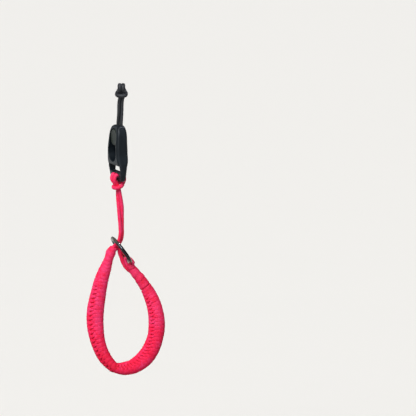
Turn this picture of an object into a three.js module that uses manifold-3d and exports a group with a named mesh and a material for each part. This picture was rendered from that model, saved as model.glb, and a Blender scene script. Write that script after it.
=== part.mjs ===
// Rope camera wrist strap, hanging by its black cord loop. Millimetres, +Z up, +X to the
// right, +Y away from the front. The origin is the axis of the lug wire that the black
// cord's hitch holds, and everything hangs below it.
import * as THREE from 'three';
import { mergeVertices } from 'three/addons/utils/BufferGeometryUtils.js';
import Module from 'manifold-3d';

const wasm = await Module();
wasm.setup();

// ---------- driving dimensions ----------
const GAP = 0.3; // clearance between pieces that meet
const ROPE = 2.9; // red rope of the leader and the eye
const EYE_ROPE = 2.6; // the eye's rope is pulled thinner round the ring
const ROPE_SIDES = 8;
const STRAND_HALF = 1.6; // half the spacing of the leader's two strands
// A hitch names half spacings along its bar: of the two strands, of the turns over the
// bar, and of the legs that come round the strands to the bight.
const LEADER_HITCH = { strand: STRAND_HALF, splay: 3.0, leg: 4.6 };

const LUG_WIRE = 2.0; // camera ring wire that the black hitch is tied on
const ANCHOR_CORD = 2.5;
const ANCHOR_HITCH = { strand: 1.35, splay: 1.45, leg: 3.75 };

const LINK_TURN = 64; // degrees that the link's face is turned to the left of the front
const LINK_X = -2.9; // the link hangs a little left of the lug
const LINK_BACK = 4.7; // flat back, measured from the link's mid plane
const LINK_WALL = 0.95;
const CORD_CHANNEL = 3.2; // half width of the way in at the top
const DISC_Z = -42.4;
const DISC_RADIUS = 7.15;
const DISC_FRONT = 4.5; // the disc's face, measured out from the link's mid plane
const DISC_THICK = 2.9;
const POCKET_RADIUS = 7.7;
const MOUTH_RADIUS = 6.5; // round mouth that the disc shows in
const TRACK_RADIUS = 7.9;
const TRACK_Z = -55.6;
const LIP = 0.6;

const WINDOW = { top: -66.4, bottom: -72.7, width: 23.0 };
const ROPE_SLOT = { top: -73.6, bottom: -77.3, width: 12.6 };
const END_BAR = { z: -79.0, halfHeight: 1.95, front: 3.3, back: 2.05 };

const RING_RADIUS = 13.0; // to the middle of the wire
const RING_WIRE = 3.2;
const RING_CENTRE = new THREE.Vector3(-1.0, 0, -142.7);
const RING_AXIS = new THREE.Vector3(0.789, 0.245, 0.563);

const SIDES = 20; // corners of each wrapped section
const STEPS_PER_ROW = 3;

// The link's outline, a row for each level: height, half width, how far the face and the
// back stand out from the mid plane, and the corner radius.
const LINK_ROWS = [
  { z: -80.9, half: 7.0, front: 1.5, back: 1.3, corner: 0.9 },
  { z: -80.3, half: 9.6, front: 2.2, back: 1.5, corner: 1.3 },
  { z: -78.5, half: 11.5, front: 2.7, back: 1.7, corner: 1.6 },
  { z: -75.5, half: 12.7, front: 3.2, back: 2.0, corner: 1.9 },
  { z: -71.0, half: 13.0, front: 4.0, back: 2.5, corner: 2.1 },
  { z: -67.0, half: 12.6, front: 4.9, back: 3.4, corner: 2.3 },
  { z: -62.5, half: 11.7, front: 5.9, back: 4.6, corner: 2.4 },
  { z: -57.0, half: 11.0, front: 6.3, back: 4.7, corner: 2.5 },
  { z: -52.0, half: 10.6, front: 6.3, back: 4.7, corner: 2.5 },
  { z: -45.5, half: 10.0, front: 5.8, back: 4.7, corner: 2.4 },
  { z: -40.0, half: 9.4, front: 5.2, back: 4.7, corner: 2.3 },
  { z: -35.8, half: 8.3, front: 4.4, back: 4.3, corner: 2.1 },
  { z: -33.3, half: 6.6, front: 3.5, back: 3.8, corner: 1.8 },
  { z: -32.0, half: 4.4, front: 2.4, back: 3.2, corner: 1.4 },
];

// The two wrapped branches of the loop, a row for each section: its middle, its width in
// the loop's plane, its depth across that plane, and its lean in degrees off square.
const LEFT_ROWS = [
  { x: -7.4, y: 0.0, z: -140.4, width: 6.6, depth: 6.4, lean: 0 },
  { x: -9.0, y: 0.0, z: -142.2, width: 7.3, depth: 6.8, lean: 0 },
  { x: -10.4, y: 0.0, z: -144.8, width: 8.8, depth: 7.6, lean: 0 },
  { x: -11.5, y: 0.0, z: -148.2, width: 7.8, depth: 7.4, lean: 0 },
  { x: -12.9, y: 0.2, z: -152.4, width: 8.3, depth: 7.7, lean: 0 },
  { x: -14.8, y: 0.5, z: -157.4, width: 9.5, depth: 8.4, lean: 0 },
  { x: -17.1, y: 0.9, z: -164.0, width: 10.9, depth: 9.2, lean: 0 },
  { x: -19.4, y: 1.4, z: -171.4, width: 11.7, depth: 9.9, lean: 0 },
  { x: -21.6, y: 2.0, z: -181.7, width: 13.1, depth: 10.6, lean: 0 },
  { x: -23.5, y: 2.4, z: -193.9, width: 13.9, depth: 11.0, lean: 0 },
  { x: -24.1, y: 2.5, z: -204.1, width: 14.4, depth: 11.2, lean: 0 },
  { x: -23.4, y: 2.3, z: -213.2, width: 13.9, depth: 11.1, lean: 0 },
  { x: -21.6, y: 1.9, z: -222.6, width: 13.0, depth: 10.8, lean: 0 },
  { x: -18.9, y: 1.5, z: -230.8, width: 12.2, depth: 10.4, lean: 0 },
  { x: -15.4, y: 1.1, z: -237.6, width: 11.6, depth: 10.0, lean: 0 },
  { x: -11.4, y: 0.8, z: -242.7, width: 10.4, depth: 9.7, lean: 3 },
  { x: -7.9, y: 0.6, z: -246.0, width: 9.3, depth: 9.5, lean: 5 },
];
const RIGHT_ROWS = [
  { x: -7.6, y: 0.6, z: -246.2, width: 9.3, depth: 9.5, lean: -25 },
  { x: -3.9, y: 0.4, z: -247.1, width: 9.7, depth: 9.7, lean: -14 },
  { x: 0.6, y: 0.0, z: -247.5, width: 10.9, depth: 10.0, lean: -4 },
  { x: 5.3, y: -0.4, z: -246.9, width: 11.8, depth: 10.3, lean: 0 },
  { x: 10.0, y: -0.7, z: -245.2, width: 12.4, depth: 10.5, lean: 0 },
  { x: 17.8, y: -1.3, z: -239.6, width: 13.5, depth: 10.8, lean: 0 },
  { x: 24.3, y: -1.9, z: -231.0, width: 14.3, depth: 11.1, lean: 0 },
  { x: 28.3, y: -2.3, z: -219.9, width: 14.2, depth: 11.2, lean: 0 },
  { x: 29.8, y: -2.5, z: -208.7, width: 14.1, depth: 11.2, lean: 0 },
  { x: 29.3, y: -2.4, z: -197.3, width: 13.4, depth: 11.0, lean: 0 },
  { x: 26.7, y: -1.9, z: -187.2, width: 11.9, depth: 10.2, lean: 0 },
  { x: 22.0, y: -1.3, z: -177.9, width: 9.7, depth: 8.9, lean: 0 },
  { x: 16.2, y: -0.7, z: -168.0, width: 9.1, depth: 8.3, lean: 0 },
  { x: 11.2, y: -0.3, z: -161.4, width: 8.3, depth: 7.9, lean: 0 },
  { x: 6.6, y: 0.0, z: -156.4, width: 8.1, depth: 7.6, lean: -30 },
];

// The middle of the leader's two strands from the link down to the left branch, with the
// angle that the pair has turned: 0 is side by side across the front.
const LEADER_ROWS = [
  { x: -3.2, y: -0.2, z: -89.5, turn: -58 },
  { x: -2.7, y: -0.1, z: -95.0, turn: -34 },
  { x: -1.8, y: 0.0, z: -103.3, turn: 0 },
  { x: -1.4, y: 0.0, z: -113.0, turn: 38 },
  { x: -1.1, y: 0.0, z: -121.0, turn: 56 },
  { x: -1.1, y: 0.0, z: -128.6, turn: 58 },
  { x: -2.1, y: 0.0, z: -133.4, turn: 55 },
  { x: -4.2, y: 0.0, z: -136.7, turn: 50 },
  { x: -7.2, y: 0.0, z: -140.1, turn: 48 },
];

// Middle lines of the two rope loops of the eye that holds the ring.
const EYE_FRONT_ROUTE = [
  [4.6, -1.65, -156.0], [3.6, -1.65, -154.2], [3.1, -1.65, -152.2], [3.2, -1.65, -150.3],
  [4.4, -1.65, -149.0], [6.4, -1.65, -148.9], [8.4, -1.65, -149.7], [9.8, -1.65, -151.4],
  [10.1, -1.65, -153.0], [9.8, -1.65, -154.4],
];
const EYE_BACK_ROUTE = [
  [3.0, 1.8, -155.8], [1.2, 1.9, -154.8], [0.0, 2.0, -152.7], [-1.1, 2.2, -149.4],
  [-2.0, 2.4, -145.6], [-2.2, 2.6, -142.5], [-1.1, 2.8, -141.0], [0.2, 2.9, -142.0],
  [2.1, 2.8, -144.8], [4.1, 2.6, -147.5], [6.1, 2.4, -149.6], [8.2, 2.2, -150.0],
  [9.7, 2.0, -151.6], [10.1, 1.8, -153.1], [9.8, 1.65, -154.4],
];

const COLOURS = {
  rope: { color: 0xe0284f, roughness: 0.85, metalness: 0 },
  cord: { color: 0x141518, roughness: 0.8, metalness: 0 },
  housing: { color: 0x1d1f22, roughness: 0.6, metalness: 0 },
  disc: { color: 0x43463e, roughness: 0.5, metalness: 0 },
  ring: { color: 0x55534f, roughness: 0.22, metalness: 1 },
};

const group = new THREE.Group();

function addPiece(name, geometry, look) {
  const mesh = new THREE.Mesh(geometry, new THREE.MeshStandardMaterial(COLOURS[look]));
  mesh.name = name;
  group.add(mesh);
  return mesh;
}

// ---------- shared shapes ----------

// A round rope along a smooth route.
function ropeGeometry(route, diameter, steps) {
  const section = new THREE.Shape();
  for (let i = 0; i < ROPE_SIDES; i += 1) {
    const angle = (2 * Math.PI * i) / ROPE_SIDES;
    const [x, y] = [Math.cos(angle) * (diameter / 2), Math.sin(angle) * (diameter / 2)];
    if (i === 0) section.moveTo(x, y);
    else section.lineTo(x, y);
  }
  section.closePath();
  const path = new THREE.CatmullRomCurve3(route);
  return new THREE.ExtrudeGeometry(section, { steps, extrudePath: path });
}

// A closed solid through rings of points that all have the same number of corners.
function loftGeometry(rings) {
  const corners = rings[0].length;
  const positions = [];
  const faces = [];
  for (const ring of rings) for (const p of ring) positions.push(p.x, p.y, p.z);
  for (let row = 0; row + 1 < rings.length; row += 1) {
    for (let i = 0; i < corners; i += 1) {
      const j = (i + 1) % corners;
      const [a, b] = [row * corners + i, row * corners + j];
      faces.push(a, b, b + corners, a, b + corners, a + corners);
    }
  }
  for (const [ring, row] of [[rings[0], 0], [rings.at(-1), rings.length - 1]]) {
    const hub = positions.length / 3;
    const middle = new THREE.Vector3();
    for (const p of ring) middle.addScaledVector(p, 1 / corners);
    positions.push(middle.x, middle.y, middle.z);
    for (let i = 0; i < corners; i += 1) {
      const j = (i + 1) % corners;
      const [a, b] = [row * corners + i, row * corners + j];
      faces.push(...(row === 0 ? [hub, b, a] : [hub, a, b]));
    }
  }
  const geometry = new THREE.BufferGeometry();
  geometry.setAttribute('position', new THREE.Float32BufferAttribute(positions, 3));
  geometry.setIndex(faces);
  geometry.computeVertexNormals();
  return geometry;
}

// One value of a table between two of its rows, smoothly.
function blendRows(rows, place, column) {
  const last = rows.length - 1;
  const row = Math.min(Math.floor(place), last - 1);
  const t = place - row;
  const at = (i) => rows[Math.min(Math.max(i, 0), last)][column];
  const [p0, p1, p2, p3] = [at(row - 1), at(row), at(row + 1), at(row + 2)];
  return p1 + 0.5 * t * (p2 - p0 + t * (2 * p0 - 5 * p1 + 4 * p2 - p3
    + t * (3 * (p1 - p2) + p3 - p0)));
}

function middleAt(rows, place) {
  return new THREE.Vector3(...['x', 'y', 'z'].map((column) => blendRows(rows, place, column)));
}

// ---------- wrapped branches of the loop ----------

function branchRing(rows, place) {
  const nudge = 0.02;
  const last = rows.length - 1;
  const before = middleAt(rows, Math.max(place - nudge, 0));
  const after = middleAt(rows, Math.min(place + nudge, last));
  const along = after.sub(before).normalize();
  const depthAxis = new THREE.Vector3(0, 1, 0);
  const lean = THREE.MathUtils.degToRad(blendRows(rows, place, 'lean'));
  const across = new THREE.Vector3().crossVectors(along, depthAxis).normalize();
  across.applyAxisAngle(depthAxis, -lean);
  const [halfWidth, halfDepth] = ['width', 'depth'].map((c) => blendRows(rows, place, c) / 2);
  const middle = middleAt(rows, place);
  return Array.from({ length: SIDES }, (_, i) => {
    const angle = (2 * Math.PI * i) / SIDES;
    return middle.clone()
      .addScaledVector(across, -Math.cos(angle) * halfWidth)
      .addScaledVector(depthAxis, Math.sin(angle) * halfDepth);
  });
}

// The stretch of a branch between two rows, cut back half a gap where it meets a neighbour.
function branchGeometry(rows, from, to) {
  const span = middleAt(rows, from).distanceTo(middleAt(rows, from + 1));
  const endSpan = middleAt(rows, to).distanceTo(middleAt(rows, to - 1));
  const start = from + (GAP / 2) / span;
  const end = to - (GAP / 2) / endSpan;
  const count = Math.round((to - from) * STEPS_PER_ROW);
  const places = Array.from({ length: count + 1 }, (_, i) => start + ((end - start) * i) / count);
  return loftGeometry(places.map((place) => branchRing(rows, place)));
}

function addLoop() {
  addPiece('left_end_wrap', branchGeometry(LEFT_ROWS, 0, 7), 'rope');
  addPiece('left_band', branchGeometry(LEFT_ROWS, 7, 16), 'rope');
  addPiece('right_band', branchGeometry(RIGHT_ROWS, 0, 11), 'rope');
  addPiece('right_end_wrap', branchGeometry(RIGHT_ROWS, 11, 13), 'rope');
  addPiece('throat_wrap', branchGeometry(RIGHT_ROWS, 13, 14), 'rope');
}

// ---------- ropes and hitches ----------

// Half of a cow hitch round a bar, from the strand below it to the middle of the bight
// that crosses the front. Columns: along the bar, out to the front, and up.
function hitchHalf(bar, cord, { strand, splay, leg }) {
  const r = cord / 2;
  const clear = r + GAP;
  const top = bar.halfHeight + clear;
  const front = bar.front + clear;
  const back = bar.back + clear;
  return [
    { along: strand, out: 0.15 * cord, up: -bar.halfHeight - 2.6 * cord },
    { along: strand + 0.1 * cord, out: 0.35 * front + 0.1 * cord, up: -bar.halfHeight - 1.1 * cord },
    { along: 0.2 * strand + 0.8 * splay, out: front, up: -0.2 * bar.halfHeight },
    { along: splay, out: 0.8 * front, up: bar.halfHeight + 0.85 * clear },
    { along: splay, out: (front - back) / 2, up: top },
    { along: splay, out: -0.8 * back, up: bar.halfHeight + 0.85 * clear },
    { along: splay, out: -back, up: -0.2 * bar.halfHeight },
    { along: (splay + leg) / 2, out: -0.55 * back, up: -bar.halfHeight - 0.6 * cord },
    { along: leg, out: -0.1 * back, up: -bar.halfHeight - 1.4 * cord },
    { along: 0.9 * leg, out: 1.05 * cord, up: -bar.halfHeight - 1.85 * cord },
    { along: 0.4 * leg, out: 1.45 * cord, up: -bar.halfHeight - 2.0 * cord },
  ];
}

// A whole hitch: strand, bar, bight, bar, strand.
function hitchRoute(bar, cord, hitch, place) {
  const half = hitchHalf(bar, cord, hitch);
  const mirrored = half.map((p) => ({ ...p, along: -p.along })).reverse();
  return [...half, ...mirrored].map((p) => place(p.along, p.out, p.up));
}

// The link's own directions: along its end bar, and out of its face.
const turn = THREE.MathUtils.degToRad(LINK_TURN);
const LINK_ALONG = new THREE.Vector3(Math.cos(turn), -Math.sin(turn), 0);
const LINK_OUT = new THREE.Vector3(-Math.sin(turn), -Math.cos(turn), 0);

function linkPoint(along, out, z) {
  return new THREE.Vector3(LINK_X, 0, z)
    .addScaledVector(LINK_ALONG, along)
    .addScaledVector(LINK_OUT, out);
}

// One strand of the leader, beside the pair's middle line.
function leaderStrand(side) {
  const last = LEADER_ROWS.length - 1;
  return LEADER_ROWS.map((row, i) => {
    const before = LEADER_ROWS[Math.max(i - 1, 0)];
    const after = LEADER_ROWS[Math.min(i + 1, last)];
    const down = new THREE.Vector3(after.x - before.x, 0, after.z - before.z).normalize();
    const across = new THREE.Vector3(-down.z, 0, down.x);
    const angle = THREE.MathUtils.degToRad(row.turn);
    return new THREE.Vector3(row.x, row.y, row.z)
      .addScaledVector(across, side * STRAND_HALF * Math.cos(angle))
      .add(new THREE.Vector3(0, side * STRAND_HALF * Math.sin(angle), 0));
  });
}

function addLeader() {
  const hitch = hitchRoute(END_BAR, ROPE, LEADER_HITCH, (along, out, up) =>
    linkPoint(along, out, END_BAR.z + up));
  const route = [...leaderStrand(1).reverse(), ...hitch, ...leaderStrand(-1)];
  addPiece('leader_rope', ropeGeometry(route, ROPE, 78), 'rope');
}

function addEye() {
  for (const [name, route] of [['eye_front_rope', EYE_FRONT_ROUTE],
    ['eye_back_rope', EYE_BACK_ROUTE]]) {
    const points = route.map((p) => new THREE.Vector3(...p));
    addPiece(name, ropeGeometry(points, EYE_ROPE, 22), 'rope');
  }
}

function addAnchorCord() {
  const wire = LUG_WIRE / 2;
  const bar = { halfHeight: wire, front: wire, back: wire };
  const hitch = hitchRoute(bar, ANCHOR_CORD, ANCHOR_HITCH, (along, out, up) =>
    new THREE.Vector3(along, -out, up));
  const behindDisc = DISC_FRONT - DISC_THICK - 1.5 * GAP;
  const strand = (side) => [
    new THREE.Vector3(side * 1.35 - 0.8, 0.1, -12),
    new THREE.Vector3(side * 1.35 - 1.2, 0.1, -22),
    linkPoint(side * 1.4, -1.2 - side * 0.9, -31.0),
    linkPoint(side * 1.5, -1.2 - side * 0.9, -36.0),
    linkPoint(side * 1.6, -1.2 - side * 0.6, DISC_Z + 3.2),
    linkPoint(side * 1.6, behindDisc - 1.8, DISC_Z + 0.9),
    linkPoint(side * 1.6, behindDisc - 0.8, DISC_Z),
    linkPoint(side * 1.6, behindDisc, DISC_Z),
  ];
  const route = [...strand(1).reverse(), ...hitch, ...strand(-1)];
  addPiece('anchor_cord', ropeGeometry(route, ANCHOR_CORD, 72), 'cord');
}

// ---------- link housing ----------

function toManifold(geometry) {
  const bare = geometry.clone();
  bare.deleteAttribute('normal');
  bare.deleteAttribute('uv');
  const merged = mergeVertices(bare, 1e-4);
  return new wasm.Manifold(new wasm.Mesh({
    numProp: 3,
    vertProperties: new Float32Array(merged.attributes.position.array),
    triVerts: new Uint32Array(merged.index.array),
  }));
}

function toGeometry(solid) {
  const { vertProperties, triVerts } = solid.getMesh();
  const geometry = new THREE.BufferGeometry();
  geometry.setAttribute('position', new THREE.BufferAttribute(vertProperties, 3));
  geometry.setIndex(new THREE.BufferAttribute(triVerts, 1));
  return geometry;
}

// Corners of one level of the housing: a rectangle with round corners, in the link's frame.
function linkRing(row) {
  const corners = [[1, 1, 0], [-1, 1, 1], [-1, -1, 2], [1, -1, 3]];
  const points = [];
  for (const [sideAlong, sideOut, quarter] of corners) {
    const reach = sideOut > 0 ? row.front : row.back;
    for (let k = 0; k <= 4; k += 1) {
      const angle = (Math.PI / 2) * (quarter + k / 4);
      const along = sideAlong * (row.half - row.corner) + row.corner * Math.cos(angle);
      const out = sideOut * (reach - row.corner) + row.corner * Math.sin(angle);
      points.push(new THREE.Vector3(along, out, row.z));
    }
  }
  return points;
}

// A block right through the link from front to back.
function slotCutter({ top, bottom, width }) {
  const block = new THREE.BoxGeometry(width, 16, top - bottom);
  block.translate(0, 0, (top + bottom) / 2);
  return toManifold(block);
}

// A round-ended track in the link's frame, from one level up to another.
function trackCutter(radiusLow, low, radiusHigh, high, from, to) {
  const shape = new THREE.Shape();
  shape.absarc(0, low, radiusLow, Math.PI, 2 * Math.PI, false);
  shape.absarc(0, high, radiusHigh, 0, Math.PI, false);
  shape.closePath();
  const cutter = new THREE.ExtrudeGeometry(shape, {
    depth: to - from, bevelEnabled: false, curveSegments: 16,
  });
  cutter.rotateX(Math.PI / 2);
  cutter.translate(0, to, 0);
  return toManifold(cutter);
}

function housingGeometry() {
  const floor = LINK_WALL - LINK_BACK;
  const underLip = DISC_FRONT + GAP;
  let solid = toManifold(loftGeometry(LINK_ROWS.map(linkRing)));
  const cutters = [
    trackCutter(TRACK_RADIUS, TRACK_Z, POCKET_RADIUS, DISC_Z, floor, underLip),
    trackCutter(TRACK_RADIUS, TRACK_Z, TRACK_RADIUS, TRACK_Z + 1.4, underLip - LIP, 9),
    trackCutter(MOUTH_RADIUS, TRACK_Z, MOUTH_RADIUS, DISC_Z, underLip - LIP, 9),
    slotCutter(WINDOW),
    slotCutter(ROPE_SLOT),
    trackCutter(CORD_CHANNEL, DISC_Z, CORD_CHANNEL, -20, floor, DISC_FRONT - DISC_THICK),
  ];
  for (const cutter of cutters) solid = solid.subtract(cutter);
  return toGeometry(solid);
}

function placeInLink(mesh) {
  mesh.position.set(LINK_X, 0, 0);
  mesh.rotation.z = Math.PI - turn;
  return mesh;
}

function addLink() {
  placeInLink(addPiece('link_housing', housingGeometry(), 'housing'));

  const edge = 0.5;
  const back = DISC_FRONT - DISC_THICK;
  const profile = [
    [0, back], [DISC_RADIUS - edge, back], [DISC_RADIUS, back + edge],
    [DISC_RADIUS, DISC_FRONT - 2 * edge], [DISC_RADIUS - edge, DISC_FRONT - edge / 2],
    [DISC_RADIUS - 3 * edge, DISC_FRONT], [0, DISC_FRONT],
  ].map(([r, h]) => new THREE.Vector2(r, h));
  const disc = new THREE.LatheGeometry(profile, 36);
  disc.translate(0, 0, DISC_Z);
  placeInLink(addPiece('anchor_disc', disc, 'disc'));
}

// ---------- ring ----------

function addRing() {
  const ring = addPiece('slide_ring',
    new THREE.TorusGeometry(RING_RADIUS, RING_WIRE / 2, 12, 40), 'ring');
  ring.quaternion.setFromUnitVectors(new THREE.Vector3(0, 0, 1), RING_AXIS.clone().normalize());
  ring.position.copy(RING_CENTRE);
}

addAnchorCord();
addLink();
addLeader();
addRing();
addEye();
addLoop();

export default group;
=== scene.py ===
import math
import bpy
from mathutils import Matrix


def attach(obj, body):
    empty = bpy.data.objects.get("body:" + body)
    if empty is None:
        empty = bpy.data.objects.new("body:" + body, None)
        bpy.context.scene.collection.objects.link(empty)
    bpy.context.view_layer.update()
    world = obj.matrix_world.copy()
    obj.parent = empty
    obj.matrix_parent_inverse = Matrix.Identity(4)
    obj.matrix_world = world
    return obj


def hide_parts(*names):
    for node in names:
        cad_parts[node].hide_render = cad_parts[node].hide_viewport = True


bl_info = {
    "name": "Rope Camera Wrist Strap",
    "version": (1, 0, 0),
    "blender": (4, 5, 0),
    "location": "View3D > Sidebar > Wrist Strap",
    "description": "Builds a hand-wrapped rope wrist strap with its slide ring and link",
    "category": "Add Mesh",
}

from collections import namedtuple

import bmesh
import bpy
from mathutils import Quaternion, Vector

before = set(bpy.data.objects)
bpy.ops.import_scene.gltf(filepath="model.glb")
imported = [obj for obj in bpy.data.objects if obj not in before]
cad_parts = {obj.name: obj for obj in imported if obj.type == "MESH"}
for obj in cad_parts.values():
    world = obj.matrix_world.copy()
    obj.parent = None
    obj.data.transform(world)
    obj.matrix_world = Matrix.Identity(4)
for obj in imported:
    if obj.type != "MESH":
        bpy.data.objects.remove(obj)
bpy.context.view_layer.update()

MM = 0.001  # the tables are in millimetres, what is built is in metres
BACK = Vector((0, 1, 0))  # away from the front, across the loop's plane

# The wrapped halves of the wrist loop, from the fold at its foot up. A row for each section:
# its middle's x, y and z, its width in the loop's plane, its depth, and its lean in degrees.
LEFT_ROWS = [
    (-8.9, 0.6, -248.0, 9.3, 9.5, 5),
    (-12.9, 0.8, -244.1, 10.4, 9.7, 3),
    (-17.0, 1.1, -238.6, 11.6, 10.0, 0),
    (-20.4, 1.5, -231.4, 12.3, 10.4, 0),
    (-22.9, 1.9, -222.9, 13.3, 10.8, 0),
    (-24.4, 2.3, -213.2, 14.6, 11.1, 0),
    (-24.8, 2.5, -204.1, 15.0, 11.2, 0),
    (-23.9, 2.4, -193.9, 14.9, 11.0, 0),
    (-21.6, 2.0, -181.7, 13.6, 10.6, 0),
    (-19.3, 1.4, -171.4, 12.5, 9.9, 0),
    (-17.0, 0.9, -164.0, 11.4, 9.2, 0),
    (-14.6, 0.5, -157.4, 9.9, 8.4, 0),
    (-12.9, 0.2, -152.4, 8.3, 7.7, 0),
    (-11.5, 0.0, -148.2, 7.8, 7.4, 0),
    (-10.4, 0.0, -144.8, 8.8, 7.6, 0),
    (-9.0, 0.0, -142.2, 7.3, 6.8, 0),
    (-7.4, 0.0, -140.4, 6.6, 6.4, 0),
]
RIGHT_ROWS = [
    (-8.6, 0.6, -248.2, 9.3, 9.5, 25),
    (-4.2, 0.4, -249.0, 10.3, 9.7, 14),
    (0.6, 0.0, -249.1, 11.8, 10.0, 4),
    (5.4, -0.4, -248.3, 12.5, 10.3, 0),
    (10.3, -0.7, -246.3, 13.5, 10.5, 0),
    (18.1, -1.3, -240.1, 14.9, 10.8, 0),
    (24.3, -1.9, -231.1, 14.9, 11.1, 0),
    (28.3, -2.3, -219.9, 14.2, 11.2, 0),
    (29.6, -2.5, -208.7, 14.5, 11.2, 0),
    (28.6, -2.4, -197.3, 13.6, 11.0, 0),
    (25.9, -1.9, -187.4, 12.6, 10.2, 0),
    (21.6, -1.3, -178.1, 10.9, 8.9, 0),
    (15.6, -0.7, -168.5, 9.3, 8.3, 0),
    (10.4, -0.3, -162.0, 8.2, 7.9, 0),
    (6.6, 0.0, -156.4, 8.1, 7.6, 30),
]

# One turn of the wrapping rope, laid out flat: its way round the section from the stitched
# row, its rise in pitches, its lift off the surface, its width in pitches, its thickness.
HITCHED_TURN = [
    (-1.9, -0.50, -1.30, 0.40, 1.2),
    (-1.0, -0.46, -0.60, 0.44, 1.3),
    (0.0, -0.40, -0.14, 0.46, 1.5),
    (1.0, -0.28, -0.02, 0.52, 1.6),
    (2.1, -0.10, 0.00, 0.86, 1.6),
    (3.4, -0.02, 0.00, 1.16, 1.6),
    (9.0, 0.03, 0.00, 1.34, 1.6),
    (16.0, 0.07, 0.00, 1.34, 1.6),
    (23.0, 0.11, 0.00, 1.34, 1.6),
    (30.0, 0.15, 0.00, 1.34, 1.6),
    (35.2, 0.19, 0.00, 1.20, 1.6),
    (36.8, 0.23, 0.02, 0.88, 1.6),
    (37.9, 0.28, 0.08, 0.54, 1.6),
    (38.96, 0.34, 0.12, 0.46, 1.5),
    (40.0, 0.40, 0.00, 0.42, 1.4),
    (40.9, 0.45, -0.50, 0.40, 1.3),
    (41.6, 0.48, -1.20, 0.34, 1.2),
]
PLAIN_TURN = [(x, rise, 0.0, 1.17, 1.6) for x, rise in (
    (0.0, 0.00), (5.0, 0.10), (10.0, 0.22), (15.0, 0.36), (19.5, 0.50), (24.0, 0.64),
    (29.0, 0.78), (34.0, 0.90), (38.96, 1.00),
)]
LOOSE_TURN = [
    (-3.0, -0.35, -0.9, 0.50, 1.3),
    (0.0, -0.20, 0.0, 0.62, 1.4),
    (5.0, 0.10, 0.2, 0.70, 1.5),
    (11.0, 0.50, 0.3, 0.72, 1.5),
    (18.0, 0.95, 0.2, 0.72, 1.5),
    (26.0, 1.30, 0.2, 0.72, 1.5),
    (33.0, 1.50, 0.1, 0.70, 1.4),
    (38.0, 1.60, -0.1, 0.62, 1.3),
    (41.0, 1.65, -0.9, 0.50, 1.2),
]
AROUND = 38.96 * MM  # a flat turn's way round, whatever the section's own size

# The leader's pair of strands, from the link down: its middle, and its turn in degrees.
LEADER_ROWS = [
    (-3.2, -0.2, -89.5, -58),
    (-2.7, -0.1, -95.0, -34),
    (-1.8, 0.0, -103.3, 0),
    (-1.4, 0.0, -113.0, 38),
    (-1.1, 0.0, -121.0, 56),
    (-1.1, 0.0, -128.6, 58),
    (-2.1, 0.0, -133.4, 55),
    (-4.2, 0.0, -136.7, 50),
    (-7.2, 0.0, -140.1, 48),
]
# The rope eye that holds the ring: its bend in front, and its way up and over behind.
EYE_FRONT_ROUTE = [
    (4.6, -1.65, -156.0), (3.5, -1.65, -154.2), (2.7, -1.65, -152.2), (2.4, -1.65, -150.2),
    (3.4, -1.65, -149.1), (5.4, -1.65, -149.4), (7.2, -1.65, -150.5), (8.3, -1.65, -152.1),
    (8.9, -1.65, -153.5), (9.0, -1.65, -154.8),
]
EYE_BACK_ROUTE = [
    (8.4, 0.2, -162.4), (5.2, 1.3, -160.4), (2.7, 1.9, -158.1), (1.0, 2.0, -155.4),
    (-0.2, 2.0, -152.7), (-1.2, 2.2, -149.4), (-2.5, 2.4, -145.8), (-2.8, 2.6, -142.9),
    (-1.7, 2.8, -141.8), (-0.6, 2.9, -142.8), (1.3, 2.8, -145.4), (3.3, 2.6, -148.0),
    (5.1, 2.4, -150.3), (6.7, 2.2, -151.7), (7.9, 2.0, -152.8), (8.6, 1.8, -153.8),
    (8.9, 1.65, -154.9),
]

# The link, level by level: z, half its width, its face and its back from the mid plane, and
# its corners' radius. It stands turned by LINK_TURN from the loop's plane.
LINK_ROWS = [
    (-80.9, 7.0, 1.5, 1.3, 0.9),
    (-80.3, 9.6, 2.2, 1.5, 1.3),
    (-78.5, 11.5, 2.7, 1.7, 1.6),
    (-75.5, 12.7, 3.2, 2.0, 1.9),
    (-71.0, 13.0, 4.0, 2.5, 2.1),
    (-67.0, 12.6, 4.9, 3.4, 2.3),
    (-62.5, 11.7, 5.9, 4.6, 2.4),
    (-57.0, 11.0, 6.3, 4.7, 2.5),
    (-52.0, 10.6, 6.3, 4.7, 2.5),
    (-45.5, 10.0, 5.8, 4.7, 2.4),
    (-40.0, 9.4, 5.2, 4.7, 2.3),
    (-35.8, 8.3, 4.4, 4.3, 2.1),
    (-33.3, 6.6, 3.5, 3.8, 1.8),
    (-32.0, 4.4, 2.4, 3.2, 1.4),
]
LINK_TURN = math.radians(64)
LINK_X = -2.9
LINK_ALONG = Vector((math.cos(LINK_TURN), -math.sin(LINK_TURN), 0))
LINK_OUT = Vector((-math.sin(LINK_TURN), -math.cos(LINK_TURN), 0))
LINK_BACK, BACK_PLATE, TRACK_FOOT = 4.7, 0.95, -55.6
DISC_Z, DISC_RADIUS, DISC_FRONT, DISC_THICK = -42.4, 7.15, 4.5, 2.9
CLEARANCE = 0.3

RING_CENTRE = Vector((-1.0, 0, -142.7)) * MM
RING_AXIS = Vector((0.789, 0.245, 0.563))


# ---------- sizes and colours a user would change ----------


def length(name, description, default):
    return bpy.props.FloatProperty(
        name=name, description=description, default=default, min=0.0001,
        subtype="DISTANCE", unit="LENGTH", precision=5,
    )


def colour(name, description, default):
    return bpy.props.FloatVectorProperty(
        name=name, description=description, default=default, size=3, min=0, max=1,
        subtype="COLOR",
    )


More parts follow.
